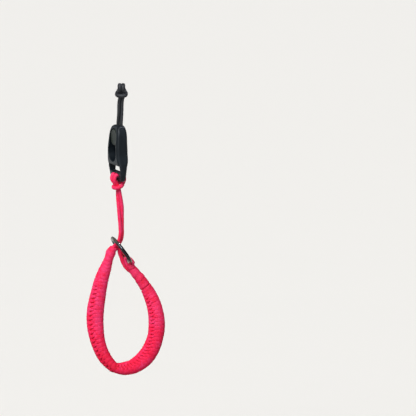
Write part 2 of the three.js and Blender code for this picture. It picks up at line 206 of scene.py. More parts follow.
class StrapSizes(bpy.types.PropertyGroup):
    leader_rope: length("Leader rope", "Thickness of the doubled red rope", 0.0031)
    eye_rope: length("Eye rope", "Thickness of the rope that holds the ring", 0.0030)
    anchor_cord: length("Anchor cord", "Thickness of the black cord", 0.0028)
    left_pitch: length("Left pitch", "Rise of one turn in the left band", 0.00385)
    right_pitch: length("Right pitch", "Rise of one turn in the right band", 0.0034)
    end_pitch: length("End pitch", "Rise of one turn in the plain ends", 0.0034)
    ring_radius: length("Ring radius", "From the ring's centre to the wire's", 0.0130)
    ring_wire: length("Ring wire", "Thickness of the ring's wire", 0.0032)


class StrapColours(bpy.types.PropertyGroup):
    rope: colour("Rope", "Red rope in full light", (0.90, 0.010, 0.068))
    rope_faded: colour("Rope, faded", "Red rope where it has faded", (0.86, 0.044, 0.172))
    # The next colour is the same red in shade, painted where shade falls: in the braid's grooves,
    # under the turns, in the holes, on the lower left and along the fold.
    rope_in_shade: colour("Rope, deep", "Red rope between its strands", (0.55, 0.002, 0.026))
    cord: colour("Cord", "Black cord", (0.009, 0.010, 0.013))
    link: colour("Link", "Moulded black plastic", (0.005, 0.008, 0.011))
    disc: colour("Disc", "Olive grey plastic", (0.006, 0.010, 0.006))
    ring: colour("Ring", "Dark plated steel", (0.028, 0.028, 0.031))
    ring_worn: colour("Ring, worn", "Steel where its plating has worn", (0.36, 0.33, 0.26))
    floor: colour("Floor", "Pale floor", (0.800, 0.792, 0.764))


# ---------- node graphs ----------


def maths(operation, swapped=False):
    """A method of a wire that adds one Math node."""
    def method(wire, *others):
        values = (*others, wire) if swapped else (wire, *others)
        return wire.graph.add("ShaderNodeMath", {"operation": operation}, values)
    return method


class Wire:
    """A socket of a node graph that Python's own operators work on."""

    def __init__(self, graph, socket):
        self.graph, self.socket = graph, socket

    __add__, __radd__ = maths("ADD"), maths("ADD", swapped=True)
    __sub__, __rsub__ = maths("SUBTRACT"), maths("SUBTRACT", swapped=True)
    __mul__, __rmul__ = maths("MULTIPLY"), maths("MULTIPLY", swapped=True)
    __truediv__, __pow__, __abs__ = maths("DIVIDE"), maths("POWER"), maths("ABSOLUTE")
    sin, cos, arctan2 = maths("SINE"), maths("COSINE"), maths("ARCTAN2")

    def clamped(self):
        return self.graph.add("ShaderNodeClamp", {}, [self])


class Graph:
    """A node tree that is written with one method for all its nodes."""

    def __init__(self, tree):
        self.tree = tree
        tree.nodes.clear()

    def add(self, kind, settings=None, values=(), out=0):
        """A node with its settings made first, then its sockets' values or wires; a list is
        several wires into one socket."""
        node = self.tree.nodes.new(kind)
        for name, setting in (settings or {}).items():
            if name == "stops":
                for element, (place, shade) in zip(node.color_ramp.elements, setting):
                    element.position, element.color = place, (*shade, 1)
            else:
                setattr(node, name, setting)
        entries = values.items() if isinstance(values, dict) else enumerate(values)
        for key, value in entries:
            for entry in value if isinstance(value, list) else [value]:
                if isinstance(entry, Wire):
                    self.tree.links.new(entry.socket, node.inputs[key])
                elif entry is not None:
                    node.inputs[key].default_value = entry
        return Wire(self, node.outputs[out]) if len(node.outputs) else node

    def also(self, wire, out):
        """Another output of the node that a wire comes from."""
        return Wire(self, wire.socket.node.outputs[out])

    def vector(self, operation, *values, out=0):
        return self.add("ShaderNodeVectorMath", {"operation": operation}, values, out)

    def scaled(self, vector, factor):
        return self.add("ShaderNodeVectorMath", {"operation": "SCALE"}, {0: vector, 3: factor})

    def parts(self, vector):
        """A vector's x, y and z."""
        x = self.add("ShaderNodeSeparateXYZ", {}, [vector])
        return x, self.also(x, 1), self.also(x, 2)

    def joined(self, x, y, z):
        return self.add("ShaderNodeCombineXYZ", {}, [x, y, z])

    def mixed(self, factor, a, b):
        return self.add("ShaderNodeMix", {"data_type": "RGBA"}, {0: factor, 6: a, 7: b}, 2)

    def place(self):
        return self.add("ShaderNodeTexCoord", out="Object")

    def marked(self, name, out="Fac"):
        """A value stored on a piece's points, for a material."""
        return self.add("ShaderNodeAttribute", {"attribute_name": name}, out=out)

    def stored(self, geometry, name, kind, value, domain="POINT"):
        """The geometry with a value stored on it by name."""
        return self.add("GeometryNodeStoreNamedAttribute",
                        {"data_type": kind, "domain": domain}, [geometry, None, name, value])

    def read(self, name, kind):
        return self.add("GeometryNodeInputNamedAttribute", {"data_type": kind}, [name])


# ---------- materials ----------


def new_material(name):
    material = bpy.data.materials.new(name)
    material.use_nodes = True
    return material, Graph(material.node_tree)


def end_material(graph, values):
    """Ends a material in its surface shader; a plain number is the same all over."""
    surface = graph.add("ShaderNodeBsdfPrincipled", {}, values)
    graph.add("ShaderNodeOutputMaterial", {}, [surface])


def braid_pattern(graph, strands, pick):
    """Braided picks round and along a rope: 1 on a pick's crown and 0 in its grooves."""
    x, y, along = graph.parts(graph.marked("lay", "Vector"))
    angle = y.arctan2(x)
    step = along * (math.pi / pick)
    return abs((angle * strands + step).sin() * (angle * strands - step).sin()) ** 0.6


def fine_noise(graph, size, detail=2.0):
    return graph.add("ShaderNodeTexNoise", {},
                     {"Vector": graph.place(), "Scale": 1 / size, "Detail": detail})


def bumped(graph, height, distance, strength=1.0):
    return graph.add("ShaderNodeBump", {},
                     {"Strength": strength, "Distance": distance, "Height": height})


def ramp(distance, slope):
    """0 up to a line, and from there up to 1 at the slope given for each metre."""
    return (distance * slope).clamped()


def fold_line(x, height):
    """1 on the thin slanting fold at the loop's foot where its halves meet, for painted shade."""
    off = abs((x + 8.6 * MM) * 0.82 - (height + 249 * MM) * 0.57)
    return (1 - off / (0.8 * MM)).clamped() * ramp(-238 * MM - height, 200)


def rope_material(colours):
    """Red braid: painted shade in its grooves and at the lower left, pink where it has faded."""
    material, graph = new_material("red_braided_rope")
    pick = braid_pattern(graph, strands=7.0, pick=1.25 * MM)
    fuzz = fine_noise(graph, 0.25 * MM, detail=3.0)
    weave = fine_noise(graph, 1.3 * MM)
    blotch = fine_noise(graph, 7 * MM)
    # Two marks: painted shade under the turns, in the holes and on the eye's back rope, and each
    # turn's random tone less its layer's painted shade.
    sink, tone = graph.marked("sink"), graph.marked("tone")
    x, _, height = graph.parts(graph.place())
    # Painted shade on the lower left of the loop, where it faces down, away from the light.
    lower_left_shade = ramp(-212 * MM - height, 30) * ramp(12 * MM - x, 60)
    # The light level the red is painted with: lighter on the braid's crowns, painted shade in its
    # grooves, each turn's tone, and random mottling.
    light = (0.70 + pick * 0.30 + tone * 0.05 + (blotch - 0.5) * 0.3 + (weave - 0.5) * 0.5
             + (fuzz - 0.5) * 0.2)
    # Painted shade on the lower left and along the fold, taken off the light level.
    worn = light - lower_left_shade * 0.50 - fold_line(x, height) * 0.9
    shade = (worn * (1 - sink * 0.85)).clamped()
    loop_foot = ramp(-203 * MM - height, 50)
    leader = ramp(-105 * MM - height, 40) * ramp(height + 144.5 * MM, 200)
    less_faded = loop_foot + leader
    faded = ((blotch - 0.5) * 2.2 + (weave - 0.5) * 2.6 + 0.55 - less_faded * 0.45).clamped()
    fresh = graph.mixed(faded, (*colours.rope, 1), (*colours.rope_faded, 1))
    end_material(graph, {
        # Painted shade: the red in shade where the light level is low, the fresh red where it is
        # high.
        "Base Color": graph.mixed(shade, (*colours.rope_in_shade, 1), fresh),
        "Roughness": 0.78 - pick * 0.16, "Specular IOR Level": 0.16,
        "Sheen Weight": 0.03, "Sheen Roughness": 0.4, "Sheen Tint": (1.0, 0.25, 0.45, 1),
        "Normal": bumped(graph, pick * 0.8 + fuzz * 0.35, 0.10 * MM),
    })
    return material


def cord_material(colours):
    material, graph = new_material("black_braided_cord")
    pick = braid_pattern(graph, strands=6.0, pick=0.9 * MM)
    fuzz = fine_noise(graph, 0.2 * MM)
    # The braid's grooves are painted darker: painted shade between the picks.
    dark = tuple(0.3 * c for c in colours.cord)
    base = graph.mixed((0.35 + pick * 0.65).clamped(), (*dark, 1), (*colours.cord, 1))
    end_material(graph, {
        "Base Color": base, "Roughness": 0.58 - pick * 0.14 + fuzz * 0.1,
        "Specular IOR Level": 0.3, "Sheen Weight": 0.05, "Sheen Roughness": 0.35,
        "Normal": bumped(graph, pick + fuzz * 0.3, 0.06 * MM),
    })
    return material


def plastic_material(name, shade, rough, grain):
    """Moulded plastic with a fine grain and broad patches worn a little lighter."""
    material, graph = new_material(name)
    fine = fine_noise(graph, grain)
    broad = fine_noise(graph, 7 * MM, detail=3.0)
    stops = [(0.42, (0, 0, 0)), (0.72, (1, 1, 1))]
    worn = graph.add("ShaderNodeValToRGB", {"stops": stops}, [broad])
    lighter = tuple(min(1, 1.5 * c + 0.001) for c in shade)
    end_material(graph, {
        "Base Color": graph.mixed(worn, (*shade, 1), (*lighter, 1)),
        "Roughness": rough - 0.1 + fine * 0.12 + broad * 0.1, "Specular IOR Level": 0.14,
        "Normal": bumped(graph, fine, 0.03 * MM, 0.6),
    })
    return material


def ring_material(colours):
    """Dark plating, worn through to bare steel towards the ring's top and foot."""
    material, graph = new_material("dark_plated_steel")
    scratch = fine_noise(graph, 0.9 * MM, detail=4.0)
    cloud = fine_noise(graph, 5 * MM)
    _, _, height = graph.parts(graph.place())
    from_middle = abs(height + 141.8 * MM)
    worn = ((from_middle - 7.2 * MM) * 170 + (cloud - 0.5) * 1.5).clamped()
    end_material(graph, {
        "Base Color": graph.mixed(worn, (*colours.ring, 1), (*colours.ring_worn, 1)),
        "Roughness": 0.10 + scratch * 0.1 + worn * 0.16, "Metallic": 1.0,
        "Normal": bumped(graph, scratch, 0.02 * MM, 0.3),
    })
    return material


# ---------- shared shapes ----------


def new_piece(name, mesh, material=None):
    piece = bpy.data.objects.new(name, mesh)
    bpy.context.scene.collection.objects.link(piece)
    if material and not mesh.materials:
        mesh.materials.append(material)
    return piece


def in_place_of(piece, node):
    """Puts a finished piece in a CAD node's place, on the one body that there is."""
    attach(piece, "root")
    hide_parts(node)


def circle(count):
    """Angles an equal way apart round a circle."""
    return [2 * math.pi * k / count for k in range(count)]


def new_mesh(name, points, edges, faces, **marks):
    """A mesh; each mark is a list with a number or a vector for each of its points."""
    mesh = bpy.data.meshes.new(name)
    mesh.from_pydata([tuple(p) for p in points], edges, faces)
    for key, values in marks.items():
        if isinstance(values[0], float):
            mesh.attributes.new(key, "FLOAT", "POINT").data.foreach_set("value", values)
        else:
            flat = [v for value in values for v in value]
            mesh.attributes.new(key, "FLOAT_VECTOR", "POINT").data.foreach_set("vector", flat)
    return mesh


def line_mesh(name, points, **marks):
    """Points joined in a line, for a tree to make its curve from."""
    return new_mesh(name, points, [(k, k + 1) for k in range(len(points) - 1)], [], **marks)


def loft_mesh(name, rings, **marks):
    """A closed mesh through rings of points."""
    corners, last = len(rings[0]), len(rings) - 1
    points = [p for ring in rings for p in ring]

    def sides(row):
        return [(row * corners + i, row * corners + (i + 1) % corners) for i in range(corners)]

    faces = [(a, b, b + corners, a + corners) for row in range(last) for a, b in sides(row)]
    for row in (0, last):
        hub = len(points)
        points.append(sum(rings[row], Vector()) / corners)
        faces += [(hub, a, b) if row else (hub, b, a) for a, b in sides(row)]
    marks = {key: [*values, values[0], values[-1]] for key, values in marks.items()}
    mesh = new_mesh(name, points, [], faces, **marks)
    mesh.shade_smooth()
    return mesh


def between(rows, place, column):
    """One value of a table between two of its rows, smoothly."""
    last = len(rows) - 1
    row = min(max(int(place), 0), last - 1)
    t = place - row
    p0, p1, p2, p3 = (rows[min(max(i, 0), last)][column] for i in range(row - 1, row + 3))
    return p1 + 0.5 * t * (
        p2 - p0 + t * (2 * p0 - 5 * p1 + 4 * p2 - p3 + t * (3 * (p1 - p2) + p3 - p0))
    )


def finer(rows, steps):
    """A table filled in smoothly, with its rows this many equal steps from end to end."""
    last = len(rows) - 1
    columns = range(len(rows[0]))
    return [[between(rows, last * k / steps, c) for c in columns] for k in range(steps + 1)]


def smooth_route(points, spacing):
    """A smooth line through points, with a point at each spacing along it."""
    steps = 24  # from one point to the next
    first, last = 2 * points[0] - points[1], 2 * points[-1] - points[-2]
    line = [first, *points, last]
    dense = []
    for p0, p1, p2, p3 in zip(line, line[1:], line[2:], line[3:]):
        d0, d1, d2 = (math.sqrt((b - a).length) for a, b in ((p0, p1), (p1, p2), (p2, p3)))
        out = ((p1 - p0) / d0 - (p2 - p0) / (d0 + d1) + (p2 - p1) / d1) * d1
        into = ((p2 - p1) / d1 - (p3 - p1) / (d1 + d2) + (p3 - p2) / d2) * d1
        for k in range(steps):
            t = k / steps
            dense.append(
                p1 + t * (out + t * (3 * (p2 - p1) - 2 * out - into
                                     + t * (2 * (p1 - p2) + out + into)))
            )
    dense.append(points[-1].copy())
    return evenly(dense, spacing)


def evenly(dense, spacing):
    """The same line with its points an equal way apart."""
    total = sum((b - a).length for a, b in zip(dense, dense[1:]))
    count = max(2, round(total / spacing))
    step, walked, made = total / count, 0.0, [dense[0].copy()]
    for a, b in zip(dense, dense[1:]):
        span = (b - a).length
        while len(made) < count and walked + span >= step * len(made):
            made.append(a.lerp(b, (step * len(made) - walked) / span))
        walked += span
    made.append(dense[-1].copy())
    return made


# ---------- geometry node trees ----------


def baked(piece, name):
    """A piece's mesh with its modifiers applied; the piece itself goes."""
    graph = bpy.context.evaluated_depsgraph_get()
    mesh = bpy.data.meshes.new_from_object(piece.evaluated_get(graph))
    mesh.name = name
    piece.modifiers.clear()
    bpy.data.objects.remove(piece)
    return mesh


def new_tree(name, inputs):
    """A geometry tree with a mesh in and out, and named inputs of the kinds given."""
    tree = bpy.data.node_groups.new(name, "GeometryNodeTree")
    for label, kind in {"Mesh": "Geometry", **inputs}.items():
        tree.interface.new_socket(label, in_out="INPUT", socket_type="NodeSocket" + kind)
    tree.interface.new_socket("Mesh", in_out="OUTPUT", socket_type="NodeSocketGeometry")
    graph = Graph(tree)
    entry = graph.add("NodeGroupInput")
    return graph, entry, [graph.also(entry, k + 1) for k in range(len(inputs))]


def end_tree(graph, made, material):
    """Ends a geometry tree: smooth, with its copies made real, in one material."""
    made = graph.add("GeometryNodeSetShadeSmooth", {}, [made])
    made = graph.add("GeometryNodeRealizeInstances", {}, [made])
    made = graph.add("GeometryNodeSetMaterial", {}, {"Geometry": made, "Material": material})
    graph.add("NodeGroupOutput", {}, [made])
    return graph.tree


def run_tree(name, mesh, tree, values):
    """Runs a geometry tree on a mesh and keeps the result as a plain mesh."""
    source = new_piece(name + "_source", mesh)
    modifier = source.modifiers.new(name, "NODES")
    modifier.node_group = tree
    sockets = {s.name: s.identifier for s in tree.interface.items_tree if s.in_out == "INPUT"}
    for label, value in values.items():
        modifier[sockets[label]] = value
    made = baked(source, name)
    if not made.polygons:
        raise RuntimeError(f"{name} came out empty")
    return made


def rope_tree():
    """Sweeps a round rope along a line of points, marking its braid's lay and painted shade."""
    graph, line, (thickness, sides, shade, material) = new_tree("rope_on_a_route", {
        "Thickness": "Float", "Sides": "Int", "Shade": "Float", "Material": "Material",
    })
    line = graph.add("GeometryNodeMeshToCurve", {}, [line])
    run = graph.add("GeometryNodeSplineParameter", {}, [], "Length")
    line = graph.stored(line, "run", "FLOAT", run)
    section = graph.add("GeometryNodeCurvePrimitiveCircle", {},
                        {"Resolution": sides, "Radius": thickness * 0.5})
    outwards = graph.vector("NORMALIZE", graph.add("GeometryNodeInputPosition"))
    section = graph.stored(section, "side", "FLOAT_VECTOR", outwards)
    rope = graph.add("GeometryNodeCurveToMesh", {}, {
        "Curve": line, "Profile Curve": section, "Scale": graph.read("swell", "FLOAT"),
        "Fill Caps": True,
    })
    x, y, _ = graph.parts(graph.read("side", "FLOAT_VECTOR"))
    lay = graph.joined(x, y, graph.read("run", "FLOAT"))
    rope = graph.stored(rope, "lay", "FLOAT_VECTOR", lay)
    rope = graph.stored(rope, "sink", "FLOAT", shade)
    return end_tree(graph, rope, material)


def wrap_tree():
    """Repeats a flat turn along a branch's line and bends each one round its section."""
    graph, line, inputs = new_tree("turns_on_a_branch", {
        "Turn": "Object", "Core": "Object", "Count": "Int", "Pitch": "Float",
        "First": "Float", "Seam Angle": "Float", "Depth": "Float", "Unevenness": "Float",
        "Shade": "Float", "Seed": "Int", "Material": "Material",
    })
    turn, core, count, pitch, first, seam, depth, uneven, shade, seed, material = inputs
    line = graph.add("GeometryNodeMeshToCurve", {}, [line])

    def shape_of(holder):
        return graph.add("GeometryNodeObjectInfo", {"transform_space": "ORIGINAL"}, [holder],
                         "Geometry")

    def sampled(name, kind):
        return graph.add("GeometryNodeSampleCurve", {"mode": "LENGTH", "data_type": kind},
                         {"Curves": line, "Value": graph.read(name, kind), "Length": along},
                         "Value")

    # Copies of the turn in a straight row, each a little out of place and of its own tone.
    spots = graph.add("GeometryNodeMeshLine", {},
                      {"Count": count, "Start Location": graph.joined(0.0, 0.0, first),
                       "Offset": graph.joined(0.0, 0.0, pitch)})
    turns = graph.add("GeometryNodeInstanceOnPoints", {},
                      {"Points": spots, "Instance": shape_of(turn),
                       "Scale": graph.joined(1.0, 1.0, pitch)})
    chance = graph.add("FunctionNodeRandomValue", {"data_type": "FLOAT_VECTOR"},
                       {0: (0.0, -1.0, -1.0), 1: (0.0, 1.0, 1.0), "Seed": seed})
    spread = graph.vector("MULTIPLY", graph.scaled(chance, uneven), (0.0, 0.9 * MM, 2.6 * MM))
    turns = graph.add("GeometryNodeTranslateInstances", {},
                      {"Instances": turns, "Translation": spread, "Local Space": False})
    tone = graph.add("FunctionNodeRandomValue", {"data_type": "FLOAT"},
                     {2: -1.0, 3: 1.0, "Seed": seed}, 1)
    # The stored tone is a random tone for each turn less the layer's painted shade.
    turns = graph.stored(turns, "tone", "FLOAT", tone - shade, "INSTANCE")
    turns = graph.add("GeometryNodeRealizeInstances", {}, [turns])

    # Their points bent round the branch: x is the way round it, y the lift, z the way along.
    x, lift, along = graph.parts(graph.add("GeometryNodeInputPosition"))
    found = graph.add("GeometryNodeSampleCurve", {"mode": "LENGTH"},
                      {"Curves": line, "Length": along}, "Position")
    angle = seam + x * (2 * math.pi / AROUND)
    height = lift - depth
    sideways = graph.scaled(sampled("right", "FLOAT_VECTOR"),
                            angle.sin() * (sampled("half_width", "FLOAT") + height))
    front = angle.cos() * (sampled("half_depth", "FLOAT") + height)
    inwards = graph.joined(0.0, 0.0 - front, 0.0)
    bent = graph.vector("ADD", graph.vector("ADD", found, sideways), inwards)
    turns = graph.add("GeometryNodeSetPosition", {}, {"Geometry": turns, "Position": bent})

    whole = graph.add("GeometryNodeJoinGeometry", {}, [[turns, shape_of(core)]])
    return end_tree(graph, whole, material)


# ---------- the wrapped loop ----------


GUIDE_SPACING = 0.5 * MM
# The last of these is the painted shade on the filling that shows between the turns.
CORE_SPACING, CORE_SIDES, CORE_PAINTED_SHADE = 1.2 * MM, 28, 0.7
CORE_INSET = 1.0 * MM  # how far the filling lies under the wrap's surface
TURN_SIDES, TURN_STEPS = 14, 84
DRAWN_PITCH = 3.6  # millimetres from turn to turn, where a flat turn is drawn


class Branch:
    """One half of the wrist loop, as sections at any place along its rows."""

    def __init__(self, rows):
        self.rows = rows

    def middle(self, place):
        return Vector([between(self.rows, place, k) * MM for k in range(3)])

    def section(self, place):
        """Middle, the way to the right, and half sizes; beyond the ends it goes straight."""
        near = 0.02  # of a row, to either side
        last = len(self.rows) - 1
        held = min(max(place, 0.0), float(last))
        low, high = max(held - near, 0), min(held + near, last)
        reach = (self.middle(high) - self.middle(low)) / (high - low)
        right = BACK.cross(reach).normalized()
        lean = math.radians(between(self.rows, held, 5))
        right.rotate(Quaternion(BACK, lean))
        middle = self.middle(held) + reach * (place - held)
        half_width, half_depth = (between(self.rows, held, k) * MM / 2 for k in (3, 4))
        return middle, right, half_width, half_depth

    def stations(self, start, end, spacing):
        """Places an equal way apart between two rows, and the way from first to last."""
        cuts = 600
        fine = [start + (end - start) * k / cuts for k in range(cuts + 1)]
        walked = [0.0]
        for a, b in zip(fine, fine[1:]):
            walked.append(walked[-1] + (self.section(b)[0] - self.section(a)[0]).length)
        count = max(2, round(walked[-1] / spacing))
        made, k = [], 0
        for step in range(count + 1):
            goal = walked[-1] * step / count
            while k < cuts - 1 and walked[k + 1] < goal:
                k += 1
            share = (goal - walked[k]) / (walked[k + 1] - walked[k])
            made.append(fine[k] + (fine[k + 1] - fine[k]) * min(share, 1.0))
        return made, walked[-1]

    def guide(self, name, start, end):
        """A line of points with each section's sizes, for the turns to be bent along."""
        places, _ = self.stations(start, end, GUIDE_SPACING)
        middles, rights, widths, depths = zip(*(self.section(p) for p in places))
        return line_mesh(name, middles, right=rights, half_width=widths, half_depth=depths)

    def core(self, name, start, end):
        """The rope ends and filling under the turns, a closed form just inside them."""
        places, _ = self.stations(start, end, CORE_SPACING)
        rings = []
        for place in places:
            middle, right, half_width, half_depth = self.section(place)
            rings.append([
                middle + right * (math.sin(a) * (half_width - CORE_INSET))
                - BACK * (math.cos(a) * (half_depth - CORE_INSET))
                for a in circle(CORE_SIDES)
            ])
        # The filling is painted with shade, as it shows only in the holes between the turns.
        return loft_mesh(name, rings, sink=[CORE_PAINTED_SHADE] * (CORE_SIDES * len(rings)))


# A layer of turns: its flat turn and pitch, its seam's angle, how far it is moved, the extra
# turns before it, how uneven and deep it lies, its start and share of the stretch, its painted
# shade.
Layer = namedtuple(
    "Layer", "table pitch seam seed offset extra slack depth start share shade",
    defaults=(0.0, 0, 0.0, 0.75 * MM, 0.0, 1.0, 0.0),
)


def turn_mesh(name, table):
    """One flat turn: x round the section, y off its surface, z up the branch in pitches."""
    rings, lay, sink = [], [], []
    rows = finer(table, TURN_STEPS)
    walked = 0.0
    for k, (x, up, lift, width, thick) in enumerate(rows):
        before, after = rows[max(k - 1, 0)], rows[min(k + 1, TURN_STEPS)]
        run = Vector((after[0] - before[0], after[2] - before[2],
                      (after[1] - before[1]) * DRAWN_PITCH)).normalized()
        side = run.cross(BACK).normalized()
        off = side.cross(run)
        if k:
            last = rows[k - 1]
            step = Vector((x - last[0], lift - last[2], (up - last[1]) * DRAWN_PITCH))
            walked += step.length
        # Painted shade on the turn's underside, stronger where the turn is tucked under.
        underside_shade = 0.8 if lift < -0.2 else 0.5  # how dark its underside is
        ring = []
        for angle in circle(TURN_SIDES):
            c, s = math.cos(angle), math.sin(angle)
            flat = squared(c) * width * DRAWN_PITCH / 2
            high = squared(s) * thick / 2
            p = Vector((x, lift, up * DRAWN_PITCH)) + side * flat + off * high
            ring.append(Vector((p.x * MM, p.y * MM, p.z / DRAWN_PITCH)))
            lay.append((c, s, walked * MM))
            sink.append(min(1.0, max(0.0, -0.1 - p.y) / 1.4) * underside_shade)
        rings.append(ring)
    return loft_mesh(name, rings, lay=lay, sink=sink)


def squared(share):
    """Fills out a round section towards its corners, as a pressed rope's is."""
    return math.copysign(abs(share) ** 0.6, share)


def wrapped_piece(branch, node, start, end, layers, tree, material):
    """A stretch of wrapped turns on its filling, in place of a CAD node."""
    gap = 0.03  # of a row, at each end of the filling
    lead, trail = start - (1 if start else 0.8), end + 1.5  # for turns that lean past the ends
    guide = branch.guide(node + "_guide", lead, trail)
    _, before = branch.stations(lead, start, GUIDE_SPACING)
    _, span = branch.stations(start, end, GUIDE_SPACING)
    made = new_piece(node + "_core", branch.core(node + "_core", start + gap, end - gap))
    for k, layer in enumerate(layers):
        count = max(1, round(span * layer.share / layer.pitch))
        pitch = span * layer.share / count
        turn = new_piece(node + "_turn", turn_mesh(node + "_turn", layer.table))
        mesh = run_tree(node + "_layer", guide.copy(), tree, {
            "Turn": turn, "Core": made, "Count": count + layer.extra, "Pitch": pitch,
            "First": before + span * layer.start + (layer.offset - layer.extra) * pitch,
            "Seam Angle": layer.seam, "Depth": layer.depth, "Unevenness": layer.slack,
            "Shade": layer.shade, "Seed": layer.seed + k, "Material": material,
        })
        bpy.data.objects.remove(turn)
        bpy.data.objects.remove(made)
        made = new_piece(node + "_wrap", mesh, material)
    in_place_of(made, node)


# ---------- ropes and hitches ----------


# A cow hitch: its bar's height and reach to the front and back, the rope's thickness, and how
# far from the middle its strands, its turns and its crossing leg lie.
Hitch = namedtuple("Hitch", "height front back rope apart splay leg")
LEADER_HITCH = Hitch(1.95, 3.3, 2.05, 2.9, 1.6, 3.0, 4.6)
ANCHOR_HITCH = Hitch(1.0, 1.0, 1.0, 2.5, 1.35, 1.45, 3.75)
END_BAR_Z = -79.0
PAIR_HALF = 1.5  # from the middle of the leader's pair to each strand
ROUTE_SPACING, ROPE_SIDES = 0.35 * MM, 18


def link_point(along, out, z):
    return (Vector((LINK_X, 0, z)) + LINK_ALONG * along + LINK_OUT * out) * MM


def hitched(strand, hitch, place):
    """Up one strand, through a cow hitch round its bar, and down the other."""
    height, front, back, rope, apart, splay, leg = hitch
    clear = rope / 2 + CLEARANCE
    front, back = front + clear, back + clear
    half = [  # along the bar, out to the front, and up
        (apart, 0.15 * rope, -height - 2.6 * rope),
        (apart + 0.1 * rope, 0.35 * front + 0.1 * rope, -height - 1.1 * rope),
        (0.2 * apart + 0.8 * splay, front, -0.2 * height),
        (splay, 0.8 * front, height + 0.85 * clear),
        (splay, (front - back) / 2, height + clear),
        (splay, -0.8 * back, height + 0.85 * clear),
        (splay, -back, -0.2 * height),
        ((splay + leg) / 2, -0.55 * back, -height - 0.6 * rope),
        (leg, -0.1 * back, -height - 1.4 * rope),
        (0.9 * leg, 1.05 * rope, -height - 1.85 * rope),
        (0.4 * leg, 1.45 * rope, -height - 2.0 * rope),
    ]
    mirrored = [(-a, o, u) for a, o, u in reversed(half)]
    return [*reversed(strand(1)), *(place(*p) for p in half + mirrored), *strand(-1)]


def leader_route():
    """The doubled leader, hitched on the link's end bar."""
    def strand(side):
        points = []
        last = len(LEADER_ROWS) - 1
        for k, (x, y, z, turn) in enumerate(LEADER_ROWS):
            before, after = LEADER_ROWS[max(k - 1, 0)], LEADER_ROWS[min(k + 1, last)]
            down = Vector((after[0] - before[0], 0, after[2] - before[2])).normalized()
            across = Vector((-down.z, 0, down.x))
            angle = math.radians(turn)
            points.append((Vector((x, y, z)) + across * (side * PAIR_HALF * math.cos(angle))
                           + BACK * (side * PAIR_HALF * math.sin(angle))) * MM)
        return points

    return hitched(strand, LEADER_HITCH, lambda a, o, u: link_point(a, o, END_BAR_Z + u))


def anchor_route():
    """The black cord, up from behind the disc and hitched on the lug wire."""
    def strand(side):
        apart = side * ANCHOR_HITCH.apart
        behind = DISC_FRONT - DISC_THICK - 1.5 * CLEARANCE
        return [
            Vector((apart - 0.8, 0.1, -12)) * MM,
            Vector((apart - 1.2, 0.1, -22)) * MM,
            link_point(side * 1.4, -1.2 - side * 0.9, -31.0),
            link_point(side * 1.5, -1.2 - side * 0.9, -36.0),
            link_point(side * 1.6, -1.2 - side * 0.6, DISC_Z + 3.2),
            link_point(side * 1.6, behind - 1.8, DISC_Z + 0.9),
            link_point(side * 1.6, behind - 0.8, DISC_Z),
            link_point(side * 1.6, behind, DISC_Z),
        ]

    return hitched(strand, ANCHOR_HITCH, lambda a, o, u: Vector((a, -o, u)) * MM)


def rope_piece(name, node, route, thickness, tree, material, shade=0.0,
               swelling=(0, 1, 1.0)):
    """A rope along its route, in place of a CAD node, swollen where it is knotted."""
    low, high, most = swelling
    path = smooth_route(route, ROUTE_SPACING)
    swell = [1 + (most - 1) * max(0.0, min(1.0, (p.z - low) / (high - low))) for p in path]
    mesh = line_mesh(name + "_line", path, swell=swell)
    made = run_tree(name, mesh, tree, {"Thickness": thickness, "Sides": ROPE_SIDES,
                                       "Shade": shade, "Material": material})
    piece = new_piece(name, made, material)
    in_place_of(piece, node)
    return piece, path


# ---------- the link and the ring ----------


CORNERS = ((1, 1), (-1, 1), (-1, -1), (1, -1))
BEYOND_LINK = 8


def link_ring(row, segments=7):
    """Corners of one level of the link: a rectangle with round corners."""
    z, half, face, back, corner = row
    points = []
    for quarter, (along, out) in enumerate(CORNERS):
        reach = face if out > 0 else back
        for k in range(segments + 1):
            angle = math.pi / 2 * (quarter + k / segments)
            points.append(link_point(along * (half - corner) + corner * math.cos(angle),
                                     out * (reach - corner) + corner * math.sin(angle), z))
    return points


def track_cutter(name, radius_low, low, radius_high, high, start, end):
    """A round-ended track through the link's face, from one depth to another."""
    half_turn = [math.pi * k / 24 for k in range(25)]
    outline = [(-radius_low * math.cos(a), low - radius_low * math.sin(a)) for a in half_turn]
    outline += [(radius_high * math.cos(a), high + radius_high * math.sin(a)) for a in half_turn]
    rings = [[link_point(x, out, z) for x, z in outline] for out in (start, end)]
    return new_piece(name, loft_mesh(name, rings))


def slot_cutter(name, top, bottom, width):
    """A block right through the link from front to back."""
    rings = [[link_point(along * width / 2, out * BEYOND_LINK, z) for along, out in CORNERS]
             for z in (bottom, top)]
    return new_piece(name, loft_mesh(name, rings))


def outward(mesh):
    """The mesh with its doubles merged and its faces turned outwards."""
    work = bmesh.new()
    work.from_mesh(mesh)
    bmesh.ops.remove_doubles(work, verts=work.verts, dist=1e-7)
    bmesh.ops.recalc_face_normals(work, faces=work.faces)
    work.to_mesh(mesh)
    work.free()
    return mesh


